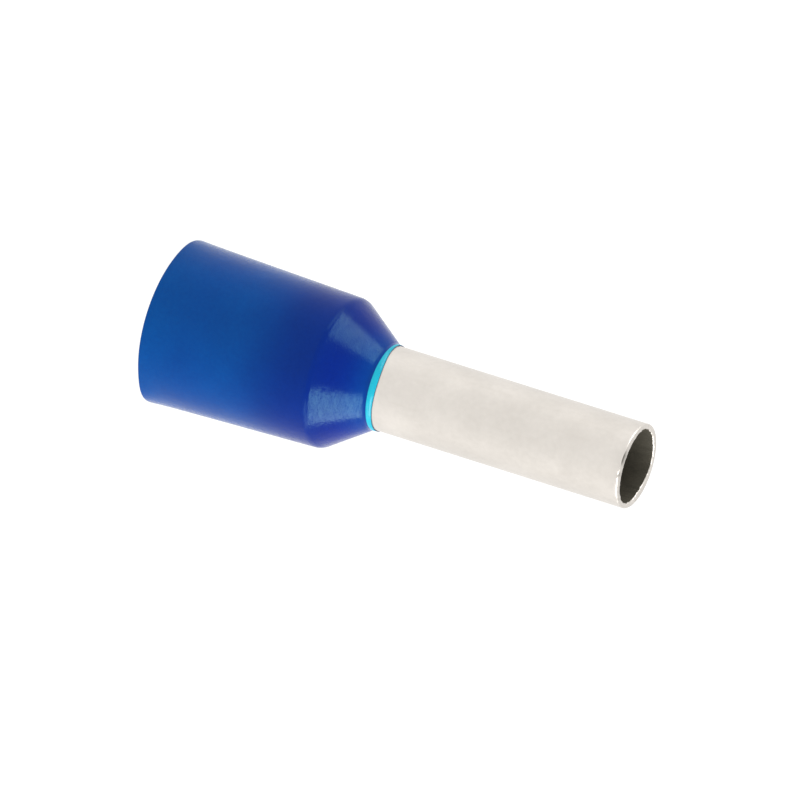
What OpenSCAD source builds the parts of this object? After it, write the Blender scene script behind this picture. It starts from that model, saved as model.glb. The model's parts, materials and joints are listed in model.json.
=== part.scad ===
// Insulated wire ferrule: a tin-plated copper tube held in a moulded collar.
// It stands on the collar's mouth. +Z runs along the axis, from the mouth to
// the tube's tip, and the origin is the centre of the mouth. Millimetres.

/* [Contact tube] */
// Inside diameter of the tube, which takes the stripped conductor
tube_bore_d = 2.2; // [1.9:0.05:2.4]
// Thickness of the tube's wall
tube_wall = 0.15; // [0.12:0.01:0.2]
// Length of tube that stands out past the collar's nose
tube_exposed = 7.8; // [6:0.1:18]
// Diameter of the bell mouth at the tube's inner end
bell_d = 3.5; // [3.1:0.05:3.6]
// Rounding of the tube's edges, at the tip and at the bell mouth's rim
tube_edge_r = 0.05; // [0.02:0.005:0.055]

/* [Collar] */
// Inside diameter of the collar at its mouth, which takes the insulation
mouth_bore_d = 4.2; // [4:0.05:4.8]
// Thickness of the collar's wall
collar_wall = 0.32; // [0.24:0.01:0.36]
// Length of the barrel, from the mouth to the shoulder
barrel_len = 5.3; // [4.5:0.1:7]
// Draft of the barrel, inside and outside, in degrees
barrel_draft = 2; // [0.5:0.1:2.5]
// Angle between the collar's cone and its axis, in degrees
cone_angle = 34.4; // [28:0.1:40]
// Thickness of the lip that closes round the tube, where it leaves the cone
lip_wall = 0.045; // [0.03:0.005:0.1]
// Thickness of the lip at its front edge
lip_edge_wall = 0.025; // [0.015:0.005:0.03]
// Length of the lip past the end of the cone
lip_len = 0.27; // [0.2:0.01:0.6]
// Rounding of the mouth's rim, on its inner and outer edge
rim_r = 0.03; // [0.02:0.01:0.1]
// Rounding of the shoulder, outside, between barrel and cone
shoulder_r = 0.35; // [0.05:0.01:0.5]
// Fillet inside, between the barrel's bore and the funnel
funnel_r = 0.15; // [0.05:0.01:0.4]
// Fillet outside, between the cone and the lip
root_r = 0.12; // [0.1:0.01:0.5]

/* [Seat of the tube in the collar] */
// Clearance between tube and collar, in the neck and along the funnel
seat_gap = 0.005; // [0:0.001:0.02]
// Rounding of the collar's neck, which the tube's bell mouth is bent round
neck_r = 0.2; // [0.1:0.01:0.3]

/* [Hidden] */
$fn = 180;
// Steps in the arc that rounds a corner
arc_steps = 10;

// Each corner of a section is [distance from the axis, height above the mouth].
tube_outer = tube_bore_d / 2 + tube_wall;
mouth_outer = mouth_bore_d / 2 + collar_wall;
shoulder_outer = mouth_outer - barrel_len * tan(barrel_draft);
lip_outer = tube_outer + lip_wall;
neck_bore = tube_outer + seat_gap;
cone_end = barrel_len + (shoulder_outer - lip_outer) / tan(cone_angle);
collar_len = cone_end + lip_len;
tip_height = collar_len + tube_exposed;

// The funnel inside runs parallel to the cone, one wall further in.
funnel_shift = collar_wall / cos(cone_angle);
funnel_start = barrel_len - (funnel_shift - collar_wall) / (tan(cone_angle) - tan(barrel_draft));
funnel_end = barrel_len + (shoulder_outer - funnel_shift - neck_bore) / tan(cone_angle);

mouth_out = [mouth_outer, 0];
shoulder = [shoulder_outer, barrel_len];
root = [lip_outer, cone_end];
nose_out = [tube_outer + lip_edge_wall, collar_len];
nose_in = [neck_bore, collar_len];
neck = [neck_bore, funnel_end];
funnel_rim = [mouth_bore_d / 2 - funnel_start * tan(barrel_draft), funnel_start];
mouth_in = [mouth_bore_d / 2, 0];

// The bell mouth lies along the funnel, so it leans at the cone's angle, and
// its bend has the same centre as the rounding of the neck.
flare = [sin(cone_angle), -cos(cone_angle)];
into_wall = [-cos(cone_angle), -sin(cone_angle)];
bend_shift = [1, tan(cone_angle / 2)];
bend_out = neck - seat_gap * bend_shift;
bend_in = bend_out - tube_wall * bend_shift;
bell_out = bend_out + flare * (bell_d / 2 - tube_outer) / sin(cone_angle);
bell_in = bell_out + into_wall * tube_wall;
tip_out = [tube_outer, tip_height];
tip_in = [tube_bore_d / 2, tip_height];
bend_outer_r = neck_r + seat_gap;
bend_inner_r = bend_outer_r + tube_wall;

function unit(v) = v / norm(v);

// The points of the arc of radius r that rounds the corner at point "at" of an
// outline, between the corners before and after it.
function rounding(before, at, after, r) =
    let (
        a = unit(before - at),
        b = unit(after - at),
        half = acos(a * b) / 2,
        centre = at + unit(a + b) * r / sin(half),
        start = at + a * r / tan(half) - centre,
        first = atan2(start[1], start[0]),
        sweep = sign(cross(b, a)) * (180 - 2 * half)
    )
    [for (i = [0:arc_steps]) centre + r * [
        cos(first + sweep * i / arc_steps),
        sin(first + sweep * i / arc_steps)
    ]];

// Turns an outline round the axis. Its corners run anticlockwise, each given as
// [corner, rounding], and a rounding of 0 leaves the corner sharp.
module turned(corners) {
    last = len(corners) - 1;
    rotate_extrude() polygon([
        for (i = [0:last])
            let (at = corners[i][0], r = corners[i][1])
            each r == 0 ? [at] : rounding(
                corners[i == 0 ? last : i - 1][0],
                at,
                corners[i == last ? 0 : i + 1][0],
                r
            )
    ]);
}

module insulating_collar() {
    color([0.02, 0.29, 0.6]) turned([
        [mouth_out, rim_r],
        [shoulder, shoulder_r],
        [root, root_r],
        [nose_out, 0],
        [nose_in, 0],
        [neck, neck_r],
        [funnel_rim, funnel_r],
        [mouth_in, rim_r]
    ]);
}

module crimp_barrel() {
    color([0.88, 0.86, 0.82]) turned([
        [tip_out, tube_edge_r],
        [tip_in, tube_edge_r],
        [bend_in, bend_inner_r],
        [bell_in, tube_edge_r],
        [bell_out, tube_edge_r],
        [bend_out, bend_outer_r]
    ]);
}

insulating_collar();
crimp_barrel();
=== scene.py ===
"""Insulated wire ferrule: a blue moulded collar with a tin-plated tube pressed into it."""

import json
from math import atan2, cos, exp, hypot, pi, radians, sin, tan

import bmesh
import bpy
from mathutils import Matrix, Vector, noise


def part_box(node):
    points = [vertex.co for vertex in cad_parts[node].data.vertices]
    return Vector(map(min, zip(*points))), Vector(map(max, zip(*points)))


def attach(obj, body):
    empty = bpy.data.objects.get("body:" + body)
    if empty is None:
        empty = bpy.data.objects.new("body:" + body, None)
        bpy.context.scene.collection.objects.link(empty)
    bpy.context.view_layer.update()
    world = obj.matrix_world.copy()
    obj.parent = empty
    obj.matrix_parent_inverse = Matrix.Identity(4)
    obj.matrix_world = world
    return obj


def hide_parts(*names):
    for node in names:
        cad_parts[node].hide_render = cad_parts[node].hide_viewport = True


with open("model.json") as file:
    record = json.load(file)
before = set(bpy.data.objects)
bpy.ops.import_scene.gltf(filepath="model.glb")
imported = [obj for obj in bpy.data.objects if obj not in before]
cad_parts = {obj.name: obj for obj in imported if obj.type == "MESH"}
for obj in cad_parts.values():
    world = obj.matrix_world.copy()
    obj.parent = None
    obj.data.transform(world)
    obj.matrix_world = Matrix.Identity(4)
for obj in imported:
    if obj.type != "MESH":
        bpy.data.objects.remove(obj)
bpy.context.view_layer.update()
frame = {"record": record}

MM = 0.001

# ---------------------------------------------------------------- sizes, in metres
MOUNTS = {mount["name"]: mount for mount in frame["record"]["mounts"]}
BORE_R = MOUNTS["conductor_bore"]["dims"]["r_mm"] * MM
TUBE_R = MOUNTS["terminal_end"]["dims"]["r_mm"] * MM
MOUTH_BORE_R = MOUNTS["insulation_socket"]["dims"]["r_mm"] * MM

MOUTH_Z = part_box("insulating_collar")[0].z
FRONT_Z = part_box("insulating_collar")[1].z
TIP_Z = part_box("crimp_barrel")[1].z

COLLAR_WALL = 0.32 * MM
BARREL_LEN = 5.3 * MM
DRAFT = radians(2)
CONE_ANGLE = radians(34.4)
LIP_WALL = 0.045 * MM
LIP_EDGE_WALL = 0.025 * MM
LIP_LEN = 0.27 * MM
FILM_LEN = 0.185 * MM
SEAT_GAP = 0.005 * MM
BELL_R = 1.75 * MM
RIM_ROUND = 0.03 * MM
SHOULDER_ROUND = 0.35 * MM
FUNNEL_ROUND = 0.15 * MM
ROOT_ROUND = 0.12 * MM
NECK_ROUND = 0.2 * MM
TUBE_EDGE_ROUND = 0.05 * MM

# How finely the pieces are cut into faces.
AROUND = 384
ROUNDING_STEPS = 6
COLLAR_RING = 0.3 * MM
TUBE_RING = 0.4 * MM
# How near two points must be to merge, and an edge to its corner's circle to be rounded.
SAME_POINT = 0.0001 * MM
ON_RING = 0.002 * MM

# ---------------------------------------------------------------- camera
# The sensor's width and the focal length are in millimetres, as Blender takes them.
SENSOR = 36.0
LENS = 592.29
CAMERA_DISTANCE = 374.9 * MM
CAMERA_ELEVATION = radians(21.81)
CAMERA_ROLL = radians(107.5)
AIM_HEIGHT = 7.4 * MM
AIM_RIGHT = -0.200 * MM
AIM_UP = -0.174 * MM


def add_camera():
    """A long lens that looks down on the standing ferrule, rolled so that its tip points right."""
    data = bpy.data.cameras.new("camera")
    data.sensor_width = SENSOR
    data.lens = LENS
    data.clip_start, data.clip_end = 0.01, 10
    camera = bpy.data.objects.new("camera", data)
    bpy.context.collection.objects.link(camera)
    tilt = Matrix.Rotation(pi / 2 - CAMERA_ELEVATION, 4, "X")
    turn = tilt @ Matrix.Rotation(CAMERA_ROLL, 4, "Z")
    place = Vector((AIM_RIGHT, AIM_UP, CAMERA_DISTANCE))
    camera.matrix_world = Matrix.Translation((0, 0, AIM_HEIGHT)) @ turn @ Matrix.Translation(place)
    bpy.context.scene.camera = camera


# ---------------------------------------------------------------- turned shapes
def ring_of(edge, corner):
    """True if both ends of the edge lie on the circle that the corner sweeps."""
    return all(
        hypot(hypot(v.co.x, v.co.y) - corner.x, v.co.z - corner.z) < ON_RING
        for v in edge.verts
    )


def half_angle(before, at, after):
    """Half the angle that an outline makes at a corner."""
    return (before - at).angle(after - at) / 2


def turned(corners):
    """Turns a closed outline round the Z axis. Each corner is (radius, height, rounding)."""
    bm = bmesh.new()
    points = [Vector((r, 0, z)) for r, z, _ in corners]
    verts = [bm.verts.new(p) for p in points]
    edges = [bm.edges.new((verts[i - 1], v)) for i, v in enumerate(verts)]
    bmesh.ops.spin(
        bm, geom=verts + edges, cent=(0, 0, 0), axis=(0, 0, 1),
        angle=2 * pi, steps=AROUND, use_merge=True,
    )
    bmesh.ops.remove_doubles(bm, verts=bm.verts, dist=SAME_POINT)
    bmesh.ops.recalc_face_normals(bm, faces=bm.faces)
    last = len(corners) - 1
    for i, (_, _, rounding) in enumerate(corners):
        if rounding == 0:
            continue
        half = half_angle(points[i - 1], points[i], points[0 if i == last else i + 1])
        bmesh.ops.bevel(
            bm, geom=[e for e in bm.edges if ring_of(e, points[i])],
            offset=rounding / tan(half), offset_type="OFFSET", segments=ROUNDING_STEPS,
            profile=0.5, affect="EDGES", material=-1,
        )
    return bm


def finish_piece(bm, name, materials):
    """Makes the object, smooth-shaded, and lets it ride on the one body."""
    mesh = bpy.data.meshes.new(name)
    bm.to_mesh(mesh)
    bm.free()
    mesh.shade_smooth()
    for material in materials:
        mesh.materials.append(material)
    piece = bpy.data.objects.new(name, mesh)
    bpy.context.collection.objects.link(piece)
    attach(piece, "root")
    return piece


def collar_outline():
    """The collar's section, from the mouth up the outside and back down the bore."""
    mouth_r = MOUTH_BORE_R + COLLAR_WALL
    shoulder_r = mouth_r - BARREL_LEN * tan(DRAFT)
    cone_end = FRONT_Z - LIP_LEN
    neck_r = TUBE_R + SEAT_GAP
    film_share = 1 - FILM_LEN / LIP_LEN
    film_r = TUBE_R + LIP_WALL + (LIP_EDGE_WALL - LIP_WALL) * film_share
    shift = COLLAR_WALL / cos(CONE_ANGLE)
    funnel_z = BARREL_LEN - (shift - COLLAR_WALL) / (tan(CONE_ANGLE) - tan(DRAFT))
    neck_z = BARREL_LEN + (shoulder_r - shift - neck_r) / tan(CONE_ANGLE)
    return [
        (mouth_r, MOUTH_Z, RIM_ROUND),
        (shoulder_r, BARREL_LEN, SHOULDER_ROUND),
        (TUBE_R + LIP_WALL, cone_end, ROOT_ROUND),
        (film_r, FRONT_Z - FILM_LEN, 0),
        (TUBE_R + LIP_EDGE_WALL, FRONT_Z, 0),
        (neck_r, FRONT_Z, 0),
        (neck_r, neck_z, NECK_ROUND),
        (MOUTH_BORE_R - funnel_z * tan(DRAFT), funnel_z, FUNNEL_ROUND),
        (MOUTH_BORE_R, MOUTH_Z, RIM_ROUND),
    ]


# Which corner of that outline is the neck.
NECK_CORNER = 6
# How far down from the tip the worn edge reaches.
NICK_REACH = 0.10 * MM


def tube_outline():
    """The tube's section: its straight wall, then the bell mouth that lies along the funnel."""
    neck = Vector(collar_outline()[NECK_CORNER][:2])
    shift = Vector((1, tan(CONE_ANGLE / 2)))
    flare = Vector((sin(CONE_ANGLE), -cos(CONE_ANGLE)))
    wall = TUBE_R - BORE_R
    bend_out = neck - SEAT_GAP * shift
    bend_in = bend_out - wall * shift
    bell_out = bend_out + flare * (BELL_R - TUBE_R) / sin(CONE_ANGLE)
    bell_in = bell_out - wall * Vector((cos(CONE_ANGLE), sin(CONE_ANGLE)))
    bend_round = NECK_ROUND + SEAT_GAP
    return [
        (TUBE_R, TIP_Z - NICK_REACH, 0),
        (TUBE_R, TIP_Z, TUBE_EDGE_ROUND),
        (BORE_R, TIP_Z, TUBE_EDGE_ROUND),
        (*bend_in, bend_round + wall),
        (*bell_in, TUBE_EDGE_ROUND),
        (*bell_out, TUBE_EDGE_ROUND),
        (*bend_out, bend_round),
    ]


def cut_long_edges(bm, longest):
    """Cuts every long edge that runs along the axis into even rings."""
    steep = [e for e in bm.edges if abs(e.verts[0].co.z - e.verts[1].co.z) > longest]
    counts = {}
    for edge in steep:
        counts.setdefault(int(edge.calc_length() / longest), []).append(edge)
    for cuts, edges in sorted(counts.items()):
        bmesh.ops.subdivide_edges(bm, edges=edges, cuts=cuts, use_grid_fill=True)


def front_angle(co):
    """The angle round the axis, from the front. It grows towards +X."""
    return atan2(co.x, -co.y)


def swirl(co, waves, seed):
    """Smooth noise from -1 to 1 over the angle, seamless round the axis."""
    angle = atan2(co.y, co.x)
    return noise.noise(Vector((cos(angle) * waves, sin(angle) * waves, seed)))


# How far the mouth bulges on each side, at which angle, how widely, and up to what height.
MOUTH_BULGE_LEFT, MOUTH_BULGE_RIGHT = 0.05 * MM, 0.085 * MM
BULGE_TURN, BULGE_SPREAD = radians(68), radians(17)
BULGE_HEIGHT = 0.7 * MM


def bulge_mouth(bm):
    """Pulls the mouth slightly out of round, on its left and right, as it left the mould."""
    for vert in bm.verts:
        fade = 1 - vert.co.z / BULGE_HEIGHT
        if fade <= 0:
            continue
        turn = front_angle(vert.co)
        off = (abs(turn) - BULGE_TURN) / BULGE_SPREAD
        most = MOUTH_BULGE_RIGHT if turn > 0 else MOUTH_BULGE_LEFT
        out = 1 + most * fade * fade * exp(-off * off) / hypot(vert.co.x, vert.co.y)
        vert.co.x *= out
        vert.co.y *= out


# How far the lip reaches past its place, and how far it falls short at the sides and in waves.
LIP_REACH = 0.03 * MM
LIP_SHORT_LEFT, LIP_SHORT_RIGHT = 0.15 * MM, 0.08 * MM
LIP_WAVE = 0.02 * MM
LIP_WAVES, LIP_SEED = 2.2, 3.0


def trim_lip(bm, lip_start):
    """Makes the lip's front edge uneven: shorter at the sides, and slightly wavy."""
    for vert in bm.verts:
        if vert.co.z - lip_start <= FILM_LEN / 2:
            continue
        sideways = vert.co.x / hypot(vert.co.x, vert.co.y)
        short = LIP_SHORT_RIGHT if sideways > 0 else LIP_SHORT_LEFT
        wave = LIP_WAVE * (0.5 + 0.5 * swirl(vert.co, LIP_WAVES, LIP_SEED))
        vert.co.z += LIP_REACH - short * sideways ** 2 - wave


LIP_OUTSIDE_R = TUBE_R + 1.5 * SEAT_GAP
FACES_FRONT = 0.9


def paint_lip(bm, lip_start):
    """Gives the outside of the lip the second material, but not its bore or its front edge, which keeps
    the collar's material and its painted shade.
    """
    for face in bm.faces:
        centre = face.calc_center_median()
        outside = hypot(centre.x, centre.y) > LIP_OUTSIDE_R
        front_edge = face.normal.z > FACES_FRONT
        face.material_index = int(outside and centre.z > lip_start and not front_edge)


def make_collar(plastic, film):
    """The moulded collar: barrel, cone and the thin lip that closes on the tube."""
    bm = turned(collar_outline())
    cut_long_edges(bm, COLLAR_RING)
    bulge_mouth(bm)
    lip_start = FRONT_Z - FILM_LEN
    trim_lip(bm, lip_start)
    paint_lip(bm, lip_start)
    collar = finish_piece(bm, "collar", [plastic, film])
    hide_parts("insulating_collar")


# How far down from the tip the cut end is rough.
ROUGH_REACH = 1.2 * TUBE_EDGE_ROUND
# The burr on the bore's edge: jagged all round, raised in front and at the back, pressed down on one side.
BURR = 0.035 * MM
BURR_WAVES, BURR_SEED, BURR_SPREAD = 11, 5.0, 0.1
BURR_FRONT, BURR_BACK = 0.055 * MM, 0.015 * MM
PRESSED = 0.03 * MM
PRESSED_TURN, PRESSED_SPREAD = radians(146), radians(24)
# The outer edge: how far it is raised, how deep a nick goes, and how wide the dark line of painted shade
# along it is.
OUTER_LIFT = 0.015 * MM
NICK = 0.045 * MM
NICK_WIDTH = 0.05 * MM
NICK_EVEN = 0.6
SCUFF_SHARE = 0.15
SCUFF_WAVES, SCUFF_SEED = 9, 9.0
# How strongly a nick is marked with painted shade, and the mesh attribute that carries it.
NICK_SHADE_STRENGTH = 1.8
NICK_SHADE = "nick_shade"
# Each nick: its angle from the front, how far it reaches to either side, and its depth.
NICKS = ((radians(-5), radians(9), 0.9), (radians(17), radians(3.5), 0.35))


def nick_depth(turn):
    """How deep the blade has nicked the outer edge at an angle, from 0 to 1."""
    return sum(depth * exp(-((turn - at) / spread) ** 4) for at, spread, depth in NICKS)


def burr_shift(co):
    """How far the bore's edge has gone inward and upward at a point."""
    turn = front_angle(co)
    pressed = PRESSED * exp(-((turn - PRESSED_TURN) / PRESSED_SPREAD) ** 2)
    inward = pressed + BURR * max(0, swirl(co, BURR_WAVES, BURR_SEED) + BURR_SPREAD)
    upward = BURR_FRONT * max(0, cos(turn)) + BURR_BACK * max(0, -cos(turn)) ** 2 - pressed
    return inward, upward


def nick_share(co):
    """How much of a full nick the outer edge has at a point."""
    rough = max(0, swirl(co, SCUFF_WAVES, SCUFF_SEED))
    return SCUFF_SHARE * rough + nick_depth(front_angle(co)) * (NICK_EVEN + (1 - NICK_EVEN) * rough)


def rough_tip(bm):
    """Gives the cut end a jagged burr inside, and a few nicks in its outer edge, marked with painted
    shade.
    """
    middle = (TUBE_R + BORE_R) / 2
    nick_shade = bm.verts.layers.float.new(NICK_SHADE)
    for vert in bm.verts:
        if vert.co.z < TIP_Z - ROUGH_REACH:
            continue
        radius = hypot(vert.co.x, vert.co.y)
        if radius < middle:
            inward, upward = burr_shift(vert.co)
        else:
            share = nick_share(vert.co)
            inward = NICK * share
            upward = OUTER_LIFT - inward
            # Painted shade: the nicked outer edge is marked dark in a narrow band, most where the nick is
            # deepest.
            vert[nick_shade] = min(1, NICK_SHADE_STRENGTH * share) if radius < middle + NICK_WIDTH else 0
        vert.co.x *= 1 - inward / radius
        vert.co.y *= 1 - inward / radius
        vert.co.z += upward


BORE_MARGIN = 0.2 * TUBE_EDGE_ROUND


def paint_bore(bm):
    """Gives the bore the second material, with its painted shade, from the bell mouth up to the rounded
    edge at the tip.
    """
    for face in bm.faces:
        centre = face.calc_center_median()
        inside = hypot(centre.x, centre.y) < BORE_R + BORE_MARGIN
        face.material_index = int(inside and centre.z < TIP_Z - TUBE_EDGE_ROUND)


def make_tube(tin, bore):
    """The plated tube, with its cut tip and its bell mouth."""
    bm = turned(tube_outline())
    cut_long_edges(bm, TUBE_RING)
    rough_tip(bm)
    paint_bore(bm)
    tube = finish_piece(bm, "tube", [tin, bore])
    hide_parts("crimp_barrel")


# ---------------------------------------------------------------- materials
def group_with(name, inputs, outputs):
    """A shader node group that reads a vector and some floats. Returns it and its two ends."""
    group = bpy.data.node_groups.new(name, "ShaderNodeTree")
    group.interface.new_socket("Vector", in_out="INPUT", socket_type="NodeSocketVector")
    for label, value in inputs:
        socket = group.interface.new_socket(label, in_out="INPUT", socket_type="NodeSocketFloat")
        socket.default_value = value
    for label in outputs:
        group.interface.new_socket(label, in_out="OUTPUT", socket_type="NodeSocketFloat")
    return group, group.nodes.new("NodeGroupInput"), group.nodes.new("NodeGroupOutput")


def math_node(tree, operation, first, second):
    """A Math node. Each operand is a number or a socket."""
    node = tree.nodes.new("ShaderNodeMath")
    node.operation = operation
    for socket, value in zip(node.inputs, (first, second)):
        if isinstance(value, (int, float)):
            socket.default_value = value
        else:
            tree.links.new(value, socket)
    return node.outputs[0]


def map_range(tree, value, low, high, to_low, to_high):
    """A clamped Map Range node."""
    node = tree.nodes.new("ShaderNodeMapRange")
    for label, number in (("From Min", low), ("From Max", high), ("To Min", to_low), ("To Max", to_high)):
        node.inputs[label].default_value = number
    tree.links.new(value, node.inputs["Value"])
    return node.outputs["Result"]


def mottle_group():
    """Cloudy variation, coarse and fine mixed, from 0 to 1."""
    group, given, out = group_with("mottle", [("Scale", 1000.0), ("Fine share", 0.4)], ["Factor"])
    clouds = group.nodes.new("ShaderNodeTexNoise")
    clouds.inputs["Detail"].default_value = 2
    group.links.new(given.outputs["Vector"], clouds.inputs["Vector"])
    group.links.new(given.outputs["Scale"], clouds.inputs["Scale"])
    fine = group.nodes.new("ShaderNodeTexNoise")
    fine.inputs["Detail"].default_value = 3
    group.links.new(given.outputs["Vector"], fine.inputs["Vector"])
    group.links.new(math_node(group, "MULTIPLY", given.outputs["Scale"], 9), fine.inputs["Scale"])
    rest = math_node(group, "SUBTRACT", 1, given.outputs["Fine share"])
    total = math_node(
        group, "ADD",
        math_node(group, "MULTIPLY", clouds.outputs["Fac"], rest),
        math_node(group, "MULTIPLY", fine.outputs["Fac"], given.outputs["Fine share"]),
    )
    group.links.new(map_range(group, total, 0.3, 0.7, 0, 1), out.inputs["Factor"])
    return group


def grain_group():
    """A fine grain that may be drawn out along the axis, as a height and as a mask of its hollows."""
    group, given, out = group_with("grain", [("Scale", 20000.0), ("Length", 1.0)], ["Height", "Hollows"])
    stretch = group.nodes.new("ShaderNodeCombineXYZ")
    stretch.inputs["X"].default_value = 1
    stretch.inputs["Y"].default_value = 1
    group.links.new(math_node(group, "DIVIDE", 1, given.outputs["Length"]), stretch.inputs["Z"])
    drawn = group.nodes.new("ShaderNodeVectorMath")
    drawn.operation = "MULTIPLY"
    group.links.new(given.outputs["Vector"], drawn.inputs[0])
    group.links.new(stretch.outputs[0], drawn.inputs[1])
    noise_node = group.nodes.new("ShaderNodeTexNoise")
    noise_node.inputs["Detail"].default_value = 3
    noise_node.inputs["Roughness"].default_value = 0.6
    group.links.new(drawn.outputs[0], noise_node.inputs["Vector"])
    group.links.new(given.outputs["Scale"], noise_node.inputs["Scale"])
    group.links.new(noise_node.outputs["Fac"], out.inputs["Height"])
    group.links.new(map_range(group, noise_node.outputs["Fac"], 0.45, 0.3, 0, 1), out.inputs["Hollows"])
    return group


def speck_group():
    """Sparse small dots, 1 in the middle of each. Spacing and Size, the radius, are in millimetres."""
    group, given, out = group_with("specks", [("Spacing", 0.6), ("Size", 0.05), ("Share", 0.3)], ["Dots"])
    cells = group.nodes.new("ShaderNodeTexVoronoi")
    group.links.new(given.outputs["Vector"], cells.inputs["Vector"])
    group.links.new(math_node(group, "DIVIDE", 1 / MM, given.outputs["Spacing"]), cells.inputs["Scale"])
    reach = math_node(group, "DIVIDE", given.outputs["Size"], given.outputs["Spacing"])
    near = math_node(group, "DIVIDE", cells.outputs["Distance"], reach)
    dot = map_range(group, near, 1.0, 0.4, 0, 1)
    split = group.nodes.new("ShaderNodeSeparateColor")
    group.links.new(cells.outputs["Color"], split.inputs[0])
    chosen = math_node(group, "LESS_THAN", split.outputs[0], given.outputs["Share"])
    group.links.new(math_node(group, "MULTIPLY", dot, chosen), out.inputs["Dots"])
    return group


MOTTLE, GRAIN, SPECKS = mottle_group(), grain_group(), speck_group()


class Finish:
    """A material with one Principled shader, and helpers that build its pattern."""

    def __init__(self, name, roughness, metallic=0.0, specular=0.5):
        self.material = bpy.data.materials.new(name)
        self.material.use_nodes = True
        self.tree = self.material.node_tree
        self.shader = self.tree.nodes["Principled BSDF"]
        self.set("Roughness", roughness)
        self.set("Metallic", metallic)
        self.set("Specular IOR Level", specular)
        self.place = self.tree.nodes.new("ShaderNodeTexCoord").outputs["Object"]

    def set(self, label, value):
        """Sets a shader input to a constant, or links a socket to it."""
        if isinstance(value, (int, float)):
            self.shader.inputs[label].default_value = value
        else:
            self.tree.links.new(value, self.shader.inputs[label])

    def effect(self, group, output, **values):
        """Places a group that reads the object's coordinates, and returns one output."""
        node = self.tree.nodes.new("ShaderNodeGroup")
        node.node_tree = group
        self.tree.links.new(self.place, node.inputs["Vector"])
        for label, value in values.items():
            node.inputs[label.replace("_", " ")].default_value = value
        return node.outputs[output]

    def height_ramp(self, stops):
        """A colour that changes with the height above the mouth. Stops are (height, colour)."""
        split = self.tree.nodes.new("ShaderNodeSeparateXYZ")
        self.tree.links.new(self.place, split.inputs[0])
        low, high = stops[0][0], stops[-1][0]
        share = map_range(self.tree, split.outputs["Z"], low, high, 0, 1)
        node = self.tree.nodes.new("ShaderNodeValToRGB")
        ramp = node.color_ramp
        ramp.interpolation = "B_SPLINE"
        while len(ramp.elements) < len(stops):
            ramp.elements.new(0.5)
        for element, (height, colour) in zip(ramp.elements, stops):
            element.position = (height - low) / (high - low)
            element.color = (*colour, 1)
        self.tree.links.new(share, node.inputs["Fac"])
        return node.outputs["Color"]

    def blend(self, factor, first, second, mode="MIX"):
        """Mixes two colours, each a socket or three numbers."""
        node = self.tree.nodes.new("ShaderNodeMix")
        node.data_type = "RGBA"
        node.blend_type = mode
        sockets = (node.inputs[0], node.inputs[6], node.inputs[7])
        for socket, value in zip(sockets, (factor, first, second)):
            if isinstance(value, tuple):
                socket.default_value = (*value, 1)
            elif isinstance(value, (int, float)):
                socket.default_value = value
            else:
                self.tree.links.new(value, socket)
        return node.outputs[2]

    def bump(self, height, distance, under=None):
        """Adds a bump of that depth, over another one if it is given."""
        node = self.tree.nodes.new("ShaderNodeBump")
        node.inputs["Distance"].default_value = distance
        self.tree.links.new(height, node.inputs["Height"])
        if under is not None:
            self.tree.links.new(under, node.inputs["Normal"])
        return node.outputs["Normal"]


# The collar's colour at each height above the mouth: the plastic's deep blue, with painted light and shade
# by height, lighter where the barrel is hollow behind and darker over the metal bell mouth, shoulder and
# cone. The last one is painted shade on the lip's front edge, where it meets the tube.
COLLAR_COLOURS_AND_SHADE = [
    (0.0 * MM, (0.0, 0.079, 0.35)),
    (0.5 * MM, (0.0, 0.070, 0.322)),
    (1.4 * MM, (0.0, 0.056, 0.300)),
    (2.6 * MM, (0.0, 0.067, 0.320)),
    (3.5 * MM, (0.0, 0.046, 0.280)),
    (4.3 * MM, (0.0, 0.019, 0.223)),
    (5.2 * MM, (0.0, 0.019, 0.24)),
    (5.8 * MM, (0.0, 0.010, 0.235)),
    (6.3 * MM, (0.0, 0.021, 0.265)),
    (6.76 * MM, (0.0, 0.060, 0.34)),
    # Painted shade on the lip's front edge, where it meets the tube.
    (6.86 * MM, (0.01, 0.01, 0.08)),
]


def collar_plastic():
    """Deep blue polypropylene, with painted light and shade by height: lighter where the barrel is hollow
    behind, darker over the bell mouth.
    """
    finish = Finish("collar_plastic", 0.2, specular=0.2)
    finish.shader.inputs["Specular Tint"].default_value = (0.4, 1, 1, 1)
    # The ramp's painted light and shade by height, over the plastic's blue.
    through = finish.height_ramp(COLLAR_COLOURS_AND_SHADE)
    clouds = finish.effect(MOTTLE, "Factor", Scale=1000, Fine_share=0.45)
    # The plastic's own cloudy tone, lighter and darker at random.
    shaded = finish.blend(clouds, (0.76, 0.76, 0.86), (1.0, 1.0, 1.0))
    colour = finish.blend(1.0, through, shaded, "MULTIPLY")
    dust = finish.effect(SPECKS, "Dots", Spacing=0.9, Size=0.035, Share=0.25)
    finish.set("Base Color", finish.blend(dust, colour, (0.05, 0.20, 0.45)))
    turned_lines = finish.effect(GRAIN, "Height", Scale=3000, Length=0.2)
    finish.set("Roughness", map_range(finish.tree, turned_lines, 0.35, 0.65, 0.15, 0.27))
    skin = finish.effect(GRAIN, "Height", Scale=2500, Length=1.0)
    pores = finish.effect(GRAIN, "Height", Scale=16000, Length=1.0)
    rings = finish.effect(GRAIN, "Height", Scale=7000, Length=0.35)
    ringed = finish.bump(rings, 0.0045 * MM, finish.bump(skin, 0.008 * MM))
    finish.set("Normal", finish.bump(pores, 0.0024 * MM, ringed))
    return finish.material


def lip_film_painted_light():
    """The same plastic drawn out to a film. Its bright cyan over the metal behind it is painted light, for
    the light that passes into the film and back off the tin.
    """
    finish = Finish("lip_film_painted_light", 0.25, specular=0.3)
    clouds = finish.effect(MOTTLE, "Factor", Scale=2200, Fine_share=0.5)
    finish.set("Base Color", finish.blend(clouds, (0.0, 0.44, 0.60), (0.01, 0.51, 0.67)))
    ripple = finish.effect(GRAIN, "Height", Scale=9000, Length=1.0)
    finish.set("Normal", finish.bump(ripple, 0.002 * MM))
    return finish.material


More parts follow.
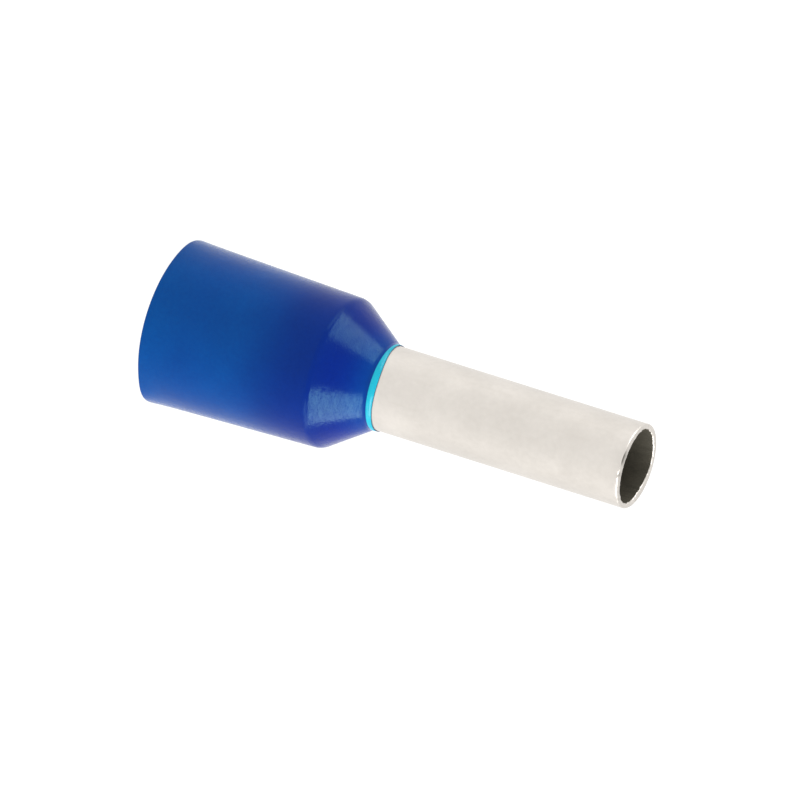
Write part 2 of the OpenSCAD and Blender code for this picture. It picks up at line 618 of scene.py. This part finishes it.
def tin_plate():
    """Satin tin on drawn copper: warm white, with faint lengthwise marks, dull specks, and painted shade
    in the hollows of the marks and in the nicks.
    """
    finish = Finish("tin_plate", 0.36, metallic=1.0)
    clouds = finish.effect(MOTTLE, "Factor", Scale=750, Fine_share=0.35)
    colour = finish.blend(clouds, (0.640, 0.602, 0.555), (0.735, 0.694, 0.645))
    # Painted shade: the tin is made about 1% darker in the hollows of the lengthwise ridges that the bump
    # below raises.
    lines = finish.effect(GRAIN, "Hollows", Scale=9000, Length=22.0)
    drawn = finish.blend(lines, (1.0, 1.0, 1.0), (0.99, 0.988, 0.985))
    colour = finish.blend(1.0, colour, drawn, "MULTIPLY")
    dull = finish.effect(SPECKS, "Dots", Spacing=1.3, Size=0.035, Share=0.3)
    colour = finish.blend(dull, colour, (0.58, 0.55, 0.53))
    # Painted shade in the nicks of the cut end, read from the mark that rough_tip leaves on the mesh.
    worn = finish.tree.nodes.new("ShaderNodeAttribute")
    worn.attribute_name = NICK_SHADE
    finish.set("Base Color", finish.blend(worn.outputs["Fac"], colour, (0.16, 0.15, 0.13)))
    finish.set("Roughness", map_range(finish.tree, clouds, 0, 1, 0.33, 0.42))
    ridges = finish.effect(GRAIN, "Height", Scale=9000, Length=22.0)
    tooth = finish.effect(GRAIN, "Height", Scale=22000, Length=1.0)
    along = finish.bump(ridges, 0.0009 * MM)
    finish.set("Normal", finish.bump(tooth, 0.0030 * MM, along))
    return finish.material


def bore_painted_shade():
    """The unpolished inside of the tube, painted a dark olive brown: painted shade for the shadowed bore.
    """
    finish = Finish("bore_painted_shade", 0.6, metallic=0.3)
    clouds = finish.effect(MOTTLE, "Factor", Scale=2500, Fine_share=0.5)
    finish.set("Base Color", finish.blend(clouds, (0.075, 0.069, 0.052), (0.12, 0.108, 0.080)))
    grit = finish.effect(GRAIN, "Height", Scale=14000, Length=3.0)
    finish.set("Normal", finish.bump(grit, 0.004 * MM))
    return finish.material


# ---------------------------------------------------------------- floor, world and lamps
def seen_directly(tree):
    """1 for camera, glossy and transmission rays, which show what they meet, and 0 for all others."""
    path = tree.nodes.new("ShaderNodeLightPath")
    either = math_node(tree, "MAXIMUM", path.outputs["Is Camera Ray"], path.outputs["Is Glossy Ray"])
    return math_node(tree, "MAXIMUM", either, path.outputs["Is Transmission Ray"])


# How strongly the studio lights the object, where 1 is the white that is seen.
AMBIENT = 0.55


def add_world():
    """A white studio. What lights the object is dimmer than what is seen of it."""
    world = bpy.data.worlds.new("studio")
    world.use_nodes = True
    tree = world.node_tree
    background = tree.nodes["Background"]
    background.inputs["Color"].default_value = (1, 1, 1, 1)
    level = map_range(tree, seen_directly(tree), 0, 1, AMBIENT, 1)
    tree.links.new(level, background.inputs["Strength"])
    bpy.context.scene.world = world


# The floor's grey to the light that it sends back, and the grey and the glow that are seen of it.
FLOOR_SHADE = 0.8
FLOOR_FAINT = 0.2
FLOOR_GLOW = 0.92
FLOOR_SIZE = 4.0
FLOOR_DROP = 0.005 * MM


def diffuse_grey(tree, level):
    """The output of a plain grey diffuse shader."""
    node = tree.nodes.new("ShaderNodeBsdfDiffuse")
    node.inputs["Color"].default_value = (level, level, level, 1)
    return node.outputs[0]


def mix_shaders(tree, factor, first, second):
    """The output of a Mix Shader between two shaders."""
    node = tree.nodes.new("ShaderNodeMixShader")
    for socket, source in zip(node.inputs, (factor, first, second)):
        tree.links.new(source, socket)
    return node.outputs[0]


def floor_material():
    """White where nothing shades it, and grey to the light that it sends back. It is clear from below."""
    material = bpy.data.materials.new("floor")
    material.use_nodes = True
    tree = material.node_tree
    tree.nodes.clear()
    glow = tree.nodes.new("ShaderNodeEmission")
    glow.inputs["Strength"].default_value = FLOOR_GLOW
    lit = tree.nodes.new("ShaderNodeAddShader")
    tree.links.new(diffuse_grey(tree, FLOOR_FAINT), lit.inputs[0])
    tree.links.new(glow.outputs[0], lit.inputs[1])
    above = mix_shaders(tree, seen_directly(tree), diffuse_grey(tree, FLOOR_SHADE), lit.outputs[0])
    clear = tree.nodes.new("ShaderNodeBsdfTransparent")
    side = tree.nodes.new("ShaderNodeNewGeometry")
    surface = mix_shaders(tree, side.outputs["Backfacing"], above, clear.outputs[0])
    out = tree.nodes.new("ShaderNodeOutputMaterial")
    tree.links.new(surface, out.inputs["Surface"])
    return material


def add_floor():
    """A pale floor just under the mouth, which carries the object's soft shadow."""
    bm = bmesh.new()
    bmesh.ops.create_grid(bm, x_segments=1, y_segments=1, size=FLOOR_SIZE / 2)
    bmesh.ops.translate(bm, verts=bm.verts, vec=(0, 0, MOUTH_Z - FLOOR_DROP))
    mesh = bpy.data.meshes.new("floor")
    bm.to_mesh(mesh)
    bm.free()
    mesh.materials.append(floor_material())
    floor = bpy.data.objects.new("floor", mesh)
    bpy.context.collection.objects.link(floor)


LAMP_DISTANCE = 150 * MM
LAMP_AIM_HEIGHT = 7 * MM
# Each softbox: its name, its direction, that of its long side, its two sides in metres, and its watts.
LAMPS = [
    ("softbox_right", (0.773, -0.21, 0.598), (0.3185, 0.7214, -0.268), 0.140, 0.035, 0.166),
    ("softbox_left", (-0.818, -0.143, 0.557), (-0.2018, 0.5511, -0.2064), 0.112, 0.035, 0.068),
    ("low_right", (0.96, -0.2, 0.15), (0, 1, 0), 0.12, 0.04, 0.042),
    ("low_left", (-0.96, -0.2, 0.15), (0, 1, 0), 0.12, 0.04, 0.025),
]


def add_lamp(name, towards, along, width, height, power):
    """A softbox in the given direction from the object, its long side laid along a second direction."""
    data = bpy.data.lights.new(name, "AREA")
    data.shape = "RECTANGLE"
    data.size, data.size_y = width, height
    data.energy = power
    lamp = bpy.data.objects.new(name, data)
    bpy.context.collection.objects.link(lamp)
    back = Vector(towards).normalized()
    side = Vector(along)
    side = (side - side.dot(back) * back).normalized()
    up = back.cross(side)
    basis = Matrix((side, up, back)).transposed().to_4x4()
    lamp.matrix_world = Matrix.Translation(back * LAMP_DISTANCE + Vector((0, 0, LAMP_AIM_HEIGHT))) @ basis
    lamp.visible_camera = False


add_camera()
make_collar(collar_plastic(), lip_film_painted_light())
make_tube(tin_plate(), bore_painted_shade())
add_floor()
add_world()
for lamp in LAMPS:
    add_lamp(*lamp)

bpy.context.scene.view_settings.view_transform = "Standard"
